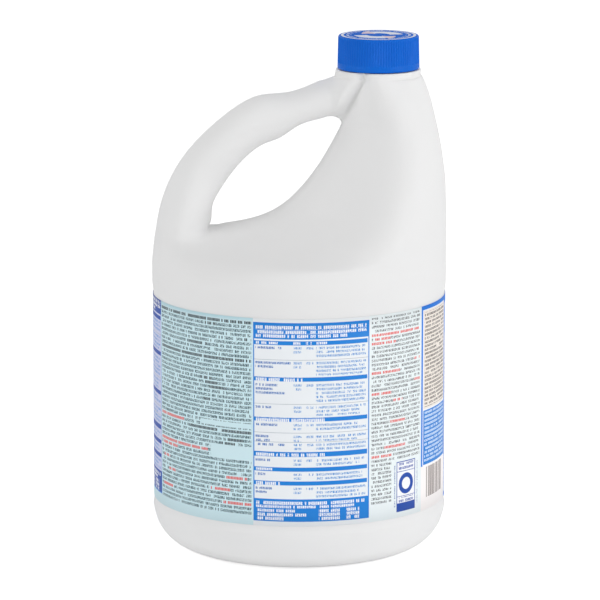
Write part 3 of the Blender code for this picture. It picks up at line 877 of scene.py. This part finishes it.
def printed_film():
    made, film, place = new_finish("printed_film")
    x, y, z = (film.node("SeparateXYZ", None, {0: place}, axis) for axis in range(3))
    along = film.math("ARCTAN2", x, y * -1) * (LABEL_RADIUS * MM)
    up = (z * MM - LABEL_LOW_Z * MM) * PRINT_STRETCH + PRINT_FOOT
    around = along.math("ABSOLUTE", along)

    # The panel of small print left of the table
    left_red, _ = spans(along, up, rows_at(LEFT_RED, LEFT_PITCH, LEFT_BASE))
    left_bold, _ = spans(along, up, rows_at(LEFT_BOLD, LEFT_PITCH, LEFT_BASE))
    left_blank, _ = spans(along, up, LEFT_BLANK)
    heavy = either(left_red, left_bold)
    left_words = small_print(
        along, up, LEFT_PITCH, LEFT_BASE, letter=0.9, thin=0.27 - heavy * 0.25, tall=(0.17, 0.84))
    left_words = left_words * oblong(along, up, LEFT_TEXT) * (1 - left_blank)

    # Two tables of the same layout, the far one with painted shade in its paper and bars
    far = along < SECOND_TABLE_ENDS[1]
    table_along = along + far * SECOND_TABLE_MOVE[0]
    table_up = up - far * SECOND_TABLE_MOVE[1]
    table = either(along.between(*TABLE[:2]), far * along.between(*SECOND_TABLE_ENDS))
    table = table * table_up.between(*TABLE[2:])
    edge = 1 - oblong(table_along, table_up, TABLE_INSIDE)
    bars, _ = spans(table_along, table_up, TABLE_BARS)
    bar_words, word_top = spans(table_along, table_up, BAR_WORDS)
    bar_print = bar_words * small_print(
        table_along, table_up, pitch=2.1, base=word_top, thin=0.1, tall=(0.1, 0.9))
    far_words, far_top = spans(table_along, table_up, FAR_WORDS)
    far_words = far_words * (1 - any_of(FAR_WORD_GAPS, table_along))
    far_print = small_print(
        table_along, table_up, pitch=TABLE_PITCH, base=far_top, thin=0.1, tall=(0.1, 0.9))
    bar_print = either(bar_print, far_words * far_print)
    lines, group_top = spans(table_along, table_up, [(top, bottom, *GROUP_ENDS) for top, bottom in GROUPS])
    first = []
    figures = []
    for (top, bottom), ends in zip(GROUPS, FIRST_COLUMN):
        for number, end in enumerate(ends):
            height = top - TABLE_PITCH * number
            first.append((height, top - TABLE_PITCH * (number + 1), GROUP_ENDS[0], end))
        figures.append((top, top - TABLE_PITCH, *FIGURE_ENDS[0]))
        figures.append((top - TABLE_PITCH, top - 2 * TABLE_PITCH, *FIGURE_ENDS[1]))
    first_words, _ = spans(table_along, table_up, first)
    figure_words, _ = spans(table_along, table_up, figures)
    figure_words = figure_words * (1 - table_along.between(*FIGURE_GAP))
    row_number = film.math("FLOOR", (group_top - table_up) / TABLE_PITCH) + group_top
    ragged = film.node("TexWhiteNoise", {"noise_dimensions": "1D"}, {"W": row_number}) * RAGGED
    last_words = lines * table_along.between(*LAST_COLUMN) * (table_along + ragged < LAST_COLUMN_END)
    words = either(either(first_words, figure_words), last_words)
    table_print = words * small_print(
        table_along, table_up, TABLE_PITCH, group_top, letter=0.85, thin=0.34 - first_words * 0.16)
    rules = any_of(TABLE_RULES, table_up)

    # The narrow panel right of the table, with its plain box
    side_red, _ = spans(along, up, rows_at(SIDE_RED, SIDE_PITCH, SIDE_BASE))
    side_words = small_print(along, up, SIDE_PITCH, SIDE_BASE, thin=0.36 - side_red * 0.28)
    side_words = side_words * either(*(oblong(along, up, sides) for sides in SIDE_WORDS))
    box = oblong(along, up, BOX)
    box_field = oblong(along, up, BOX_FIELD)
    box_x = along - BOX_MIDDLE[0]
    box_y = up - BOX_MIDDLE[1]
    from_box = box_x * box_x + box_y * box_y
    box_shape = from_box.between(*(radius * radius for radius in BOX_RING)) + any_of(BOX_RULES, up)
    box_print = small_print(along, up, pitch=2.2, base=0.9, thin=0.2)
    box_print = box_print * either(*(oblong(along, up, sides) for sides in BOX_WORDS))
    upright = either(*(oblong(along, up, sides) for sides in UPRIGHT_WORDS))
    upright = upright * small_print(up, along, pitch=1.2, base=0.6, letter=0.9)

    # The columns that run on to the seam
    brown = small_print(along, up, pitch=2.06, base=0.3, letter=0.95, thin=0.22)
    brown = brown * oblong(along, up, BROWN_WORDS)
    ice = small_print(along, up, pitch=2.135, base=0.85, thin=0.12) * oblong(along, up, BLUE_WORDS)
    stripe = film.math("FLOOR", along / STRIPE_WIDTH)
    stripes = film.node("TexWhiteNoise", {"noise_dimensions": "1D"}, {"W": stripe}) > 0.5
    seam_words = small_print(along, up, pitch=2.6, base=0.3, letter=1.2, thin=0.3)
    seam_words = seam_words * oblong(along, up, SEAM_WORDS)

    # The far side is left plain: a blue field over a pale foot with two rows of print
    far_field = around > FAR_FIELD_START
    foot_print = small_print(along, up, pitch=3.4, base=0.8, letter=6.0, thin=-1, tall=(0.3, 0.7))
    foot_print = foot_print * (around > FOOT_PRINT_START) * up.between(*FOOT_PRINT_HEIGHT)

    tone = (along > LEFT_PANEL_END).mixed(PALE_BLUE, TABLE_PAPER)
    for colour, mask in (
        (BAND_BLUE, oblong(along, up, LEFT_HEAD)),
        (TEAL_INK, left_words),
        (BOLD_INK, left_words * left_bold),
        (RED_INK, left_words * left_red),
        (TABLE_PAPER, table),
        # The far table's paper and bars are printed darker than the near table's: painted shade
        (SHADED_TABLE_PAPER, table * far),
        (TABLE_INK, table * table_print),
        (FIRST_INK, table * table_print * first_words),
        (RULE_GREY, table * rules),
        (TABLE_BLUE, table * bars),
        (DARK_BLUE, table * bars * far),
        (WHITE_INK, table * bar_print),
        (TABLE_BLUE, table * edge),
        (SIDE_PAPER, along.between(*SIDE_PANEL)),
        (GREY_INK, side_words),
        (RED_INK, side_words * side_red),
        (DARK_BLUE, box),
        (WHITE_INK, box_field),
        (DARK_BLUE, box_field * box_shape),
        (DARK_BLUE, box_print),
        (DARK_BLUE, upright),
        (FRONT_BLUE, along.between(*FRONT_FIELD)),
        (WHITE_INK, oblong(along, up, NEAR_FRAME)),
        (CREAM, oblong(along, up, NEAR_UPPER)),
        (BROWN_INK, brown),
        (TABLE_BLUE, oblong(along, up, NEAR_LOWER)),
        (ICE_INK, ice),
        (FOOT_PAPER, oblong(along, up, NEAR_FOOT)),
        (STRIPE_BROWN, stripes * oblong(along, up, STRIPES)),
        (WHITE_INK, oblong(along, up, SEAM_COLUMN)),
        (DEEP_BLUE, seam_words),
        (SOFT_BLUE, oblong(along, up, SEAM_HEAD)),
        (FRONT_BLUE, far_field),
        (SOFT_BLUE, far_field * (up < FAR_BAND_TOP)),
        (PALE_BLUE, far_field * (up < FAR_FOOT_TOP)),
        (DEEP_BLUE, foot_print),
    ):
        tone = mask.mixed(tone, colour)
    wear = film.node("TexNoise", None, {"Vector": place, "Scale": 30.0, "Detail": 4.0})
    ripple = film.node("TexNoise", None, {"Vector": place, "Scale": 90.0})
    bump = film.node("Bump", None, {"Strength": 0.2, "Distance": 0.0002, "Height": ripple})
    shader = film.node("BsdfPrincipled", None, {
        "Base Color": tone, "Roughness": wear * 0.1 + 0.38, "Normal": bump, "Specular IOR Level": 0.25})
    film.node("OutputMaterial", None, {"Surface": shader})
    return made


def make_label(finish):
    """A band round the recess, open at its seam."""
    gap = LABEL_SEAM_GAP / LABEL_RADIUS
    rise = (LABEL_HIGH_Z - LABEL_LOW_Z) / LABEL_ROWS
    corners = []
    for row in range(LABEL_ROWS + 1):
        for column in range(LABEL_COLUMNS + 1):
            turn = LABEL_SEAM_TURN + gap / 2 + (2 * math.pi - gap) * column / LABEL_COLUMNS
            height = LABEL_LOW_Z + rise * row
            corners.append((LABEL_RADIUS * math.cos(turn), LABEL_RADIUS * math.sin(turn), height))
    faces = []
    for row in range(LABEL_ROWS):
        for column in range(LABEL_COLUMNS):
            first = row * (LABEL_COLUMNS + 1) + column
            faces.append((first, first + 1, first + LABEL_COLUMNS + 2, first + LABEL_COLUMNS + 1))
    mesh = bpy.data.meshes.new("label_film")
    mesh.from_pydata(corners, [], faces)
    piece = finished("label_film", mesh, "jug", finish)
    film = piece.modifiers.new("film", "SOLIDIFY")
    film.thickness = LABEL_THICKNESS
    film.offset = -1
    return piece


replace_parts(make_label(printed_film()), "label")

# The liner: a punched disc of white foam that lies loose in the cap and seals on the neck's lip,
# which has pressed a shallow ring into its underside.
LINER_RADIUS = 0.0193
LINER_LOW_Z = 0.2761
LINER_HIGH_Z = 0.2771
LINER_EDGE = 0.00025
LINER_SIDES = 96
LINER_CORE = 0.010
LIP_RING = (0.0155, 0.0163, 0.0177, 0.0183)
LIP_RING_DEPTH = 0.00012
WELD_REACH = 0.000001
FOAM_WHITE = dye(226, 226, 222)
FOAM_SHADE = dye(216, 216, 211)


def turned(name, profile, sides, body, finish, reach=None):
    """A shape turned round the neck's axis from its profile of radius and height."""
    corners = []
    for step in range(sides):
        turn = 2 * math.pi * step / sides
        for number, (radius, height) in enumerate(profile):
            out = radius - (reach(number, step) if reach else 0)
            corners.append((NECK_OFFSET + out * math.cos(turn), out * math.sin(turn), height))
    count = len(profile)
    faces = []
    for step in range(sides):
        after = (step + 1) % sides
        for number in range(count - 1):
            faces.append((step * count + number, after * count + number,
                          after * count + number + 1, step * count + number + 1))
    mesh = bpy.data.meshes.new(name)
    mesh.from_pydata(corners, [], faces)
    bm = bmesh.new()
    bm.from_mesh(mesh)
    bmesh.ops.remove_doubles(bm, verts=bm.verts, dist=WELD_REACH)
    bmesh.ops.recalc_face_normals(bm, faces=bm.faces)
    bm.to_mesh(mesh)
    bm.free()
    return finished(name, mesh, body, finish)


def white_foam():
    made, foam, place = new_finish("white_foam")
    cells = foam.node("TexVoronoi", None, {"Vector": place, "Scale": 2600.0})
    clouds = foam.node("TexNoise", None, {"Vector": place, "Scale": 120.0, "Detail": 3.0})
    bump = foam.node("Bump", None, {"Strength": 0.5, "Distance": 0.0001, "Height": cells})
    shader = foam.node("BsdfPrincipled", None, {
        "Base Color": clouds.mixed(FOAM_WHITE, FOAM_SHADE),
        "Roughness": clouds * 0.1 + 0.7, "Normal": bump})
    foam.node("OutputMaterial", None, {"Surface": shader})
    return made


pressed_z = LINER_LOW_Z + LIP_RING_DEPTH
liner = turned("sealing_disc", (
    (0, LINER_LOW_Z), (LIP_RING[0], LINER_LOW_Z), (LIP_RING[1], pressed_z), (LIP_RING[2], pressed_z),
    (LIP_RING[3], LINER_LOW_Z), (LINER_RADIUS - LINER_EDGE, LINER_LOW_Z),
    (LINER_RADIUS, LINER_LOW_Z + LINER_EDGE), (LINER_RADIUS, LINER_HIGH_Z - LINER_EDGE),
    (LINER_RADIUS - LINER_EDGE, LINER_HIGH_Z), (LINER_CORE, LINER_HIGH_Z), (0, LINER_HIGH_Z),
), LINER_SIDES, "liner", white_foam())
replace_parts(liner, "cap_liner")

# The cap: one moulded screw cap of blue polypropylene. Fine upright ribs give it its grip above a
# plain band, the lip flares a little, and the top carries a printed ring with two turning arrows.
CAP_RADIUS = 0.0216
CAP_LIP_RADIUS = 0.0220
CAP_HEIGHT = 0.0178
CAP_TOP_THICKNESS = 0.0014
CAP_BORE_RADIUS = 0.0196
CAP_BAND = 0.0032
RIB_COUNT = 96
RIB_DEPTH = 0.0004
RIB_SAMPLES = 8
RIB_POWER = 0.7
RIB_TOP_RUN = 0.0008
RIB_END_RUN = 0.0006
GRIP_DROP = 0.006
CROWN_ROUNDING = 0.0009
CROWN_STEPS = 4
CROWN_RIB_SHARES = (0.3, 0.6)
CROWN_CORE = 0.010
LIP_RISE = 0.0008
LIP_FLAT = 0.0006
LIP_EDGE = 0.0002
BORE_EDGE = 0.0003
CAP_THREAD_REACH = 0.0182
CAP_THREAD_TURNS = 2.0
CAP_BLUE = dye(18, 106, 213)
CAP_DEEP = dye(14, 97, 202)
PRINT_WHITE = dye(232, 236, 248)
PRINT_PINK = dye(226, 208, 218)
# The print on the top, in millimetres from its middle, with turns in radians
PRINT_DEPTH = 0.12
RING_RADII = (18.7, 20.2)
MARK_RADII = (14.8, 17.7)
MARK_CIRCLE = 16.3
ARROW_RADII = (6.2, 13.2)
ARROW_TURNS = (0.15, 1.9)
ARROW_TIP_TURN = 2.7
ARROW_MIDDLE = 9.7
ARROW_HEAD_TAPER = 7.4


def blue_polypropylene():
    made, blue, place = new_finish("blue_polypropylene")
    x, y, z = (blue.node("SeparateXYZ", None, {0: place}, axis) for axis in range(3))
    x = (x - NECK_OFFSET) * MM
    y = y * MM
    radius = blue.math("SQRT", x * x + y * y)
    turn = blue.math("ARCTAN2", y, x)
    top = z * MM > (CAP_BOTTOM_Z + CAP_HEIGHT) * MM - PRINT_DEPTH
    clouds = blue.node("TexNoise", None, {"Vector": place, "Scale": 160.0, "Detail": 3.0})
    # Two arrows, each a shaft bent round the middle, with a head that narrows to a point
    half_turn = turn.math("MODULO", turn + 4 * math.pi, math.pi)
    shaft = half_turn.between(*ARROW_TURNS) * radius.between(*ARROW_RADII)
    off = radius.math("ABSOLUTE", radius - ARROW_MIDDLE)
    head = half_turn.between(ARROW_TURNS[1], ARROW_TIP_TURN)
    head = head * (off < (ARROW_TIP_TURN - half_turn) * ARROW_HEAD_TAPER)
    marks = small_print(turn * MARK_CIRCLE, radius, pitch=2.4, base=1.1, letter=1.4, thin=0.2)
    marks = marks * radius.between(*MARK_RADII)
    colour = clouds.mixed(CAP_BLUE, CAP_DEEP)
    for tint, mask in (
        (PRINT_WHITE, radius.between(*RING_RADII)),
        (PRINT_WHITE, shaft),
        (PRINT_PINK, head),
        (PRINT_WHITE, marks),
    ):
        colour = (mask * top).mixed(colour, tint)
    grain = blue.node("TexNoise", None, {"Vector": place, "Scale": 1500.0})
    bump = blue.node("Bump", None, {"Strength": 0.25, "Distance": 0.0001, "Height": grain})
    shader = blue.node("BsdfPrincipled", None, {
        "Base Color": colour, "Roughness": clouds * 0.1 + top * 0.3 + 0.33, "Normal": bump,
        "Specular IOR Level": 0.08})
    blue.node("OutputMaterial", None, {"Surface": shader})
    return made


def cap_outline():
    """Half of the cap's section, each point with its share of the ribs' depth."""
    bottom, crown = CAP_BOTTOM_Z, CAP_BOTTOM_Z + CAP_HEIGHT
    ceiling = crown - CAP_TOP_THICKNESS
    points = [(0, crown, 0), (CROWN_CORE, crown, 0), (CAP_RADIUS - CROWN_ROUNDING, crown, 0)]
    for step in range(1, CROWN_STEPS):
        turn = math.pi / 2 * step / CROWN_STEPS
        points.append((
            CAP_RADIUS - CROWN_ROUNDING + CROWN_ROUNDING * math.sin(turn),
            crown - CROWN_ROUNDING + CROWN_ROUNDING * math.cos(turn),
            CROWN_RIB_SHARES[0] * step / CROWN_STEPS,
        ))
    slope = (CAP_LIP_RADIUS - CAP_RADIUS) / CAP_HEIGHT
    for drop, share in (
        (CROWN_ROUNDING, CROWN_RIB_SHARES[1]),
        (CROWN_ROUNDING + RIB_TOP_RUN, 1),
        (GRIP_DROP, 1),
        (CAP_HEIGHT - CAP_BAND - RIB_END_RUN, 1),
        (CAP_HEIGHT - CAP_BAND, 0),
        (CAP_HEIGHT - LIP_RISE, 0),
    ):
        points.append((CAP_RADIUS + slope * drop, crown - drop, share))
    return points + [
        (CAP_LIP_RADIUS - LIP_EDGE, bottom + LIP_EDGE, 0),
        (CAP_LIP_RADIUS - LIP_FLAT, bottom, 0),
        (CAP_BORE_RADIUS + BORE_EDGE, bottom, 0),
        (CAP_BORE_RADIUS, bottom + BORE_EDGE, 0),
        (CAP_BORE_RADIUS, ceiling - LIP_EDGE, 0),
        (CAP_BORE_RADIUS - LIP_EDGE, ceiling, 0),
        (0, ceiling, 0),
    ]


outline = cap_outline()


def rib_reach(number, step):
    """How far a point of the cap's side lies behind the crests of the ribs."""
    wave = 0.5 - 0.5 * math.cos(2 * math.pi * step / RIB_SAMPLES)
    return RIB_DEPTH * outline[number][2] * wave**RIB_POWER


polypropylene = blue_polypropylene()
cap = turned("screw_cap_shell", [(radius, height) for radius, height, share in outline],
             RIB_COUNT * RIB_SAMPLES, "screw_cap", polypropylene, rib_reach)
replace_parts(cap, "cap")
thread("cap_thread", CAP_BORE_RADIUS + THREAD_SEAT, CAP_THREAD_REACH, THREAD_START_Z + THREAD_PITCH / 2,
       CAP_THREAD_TURNS, polypropylene, "screw_cap")
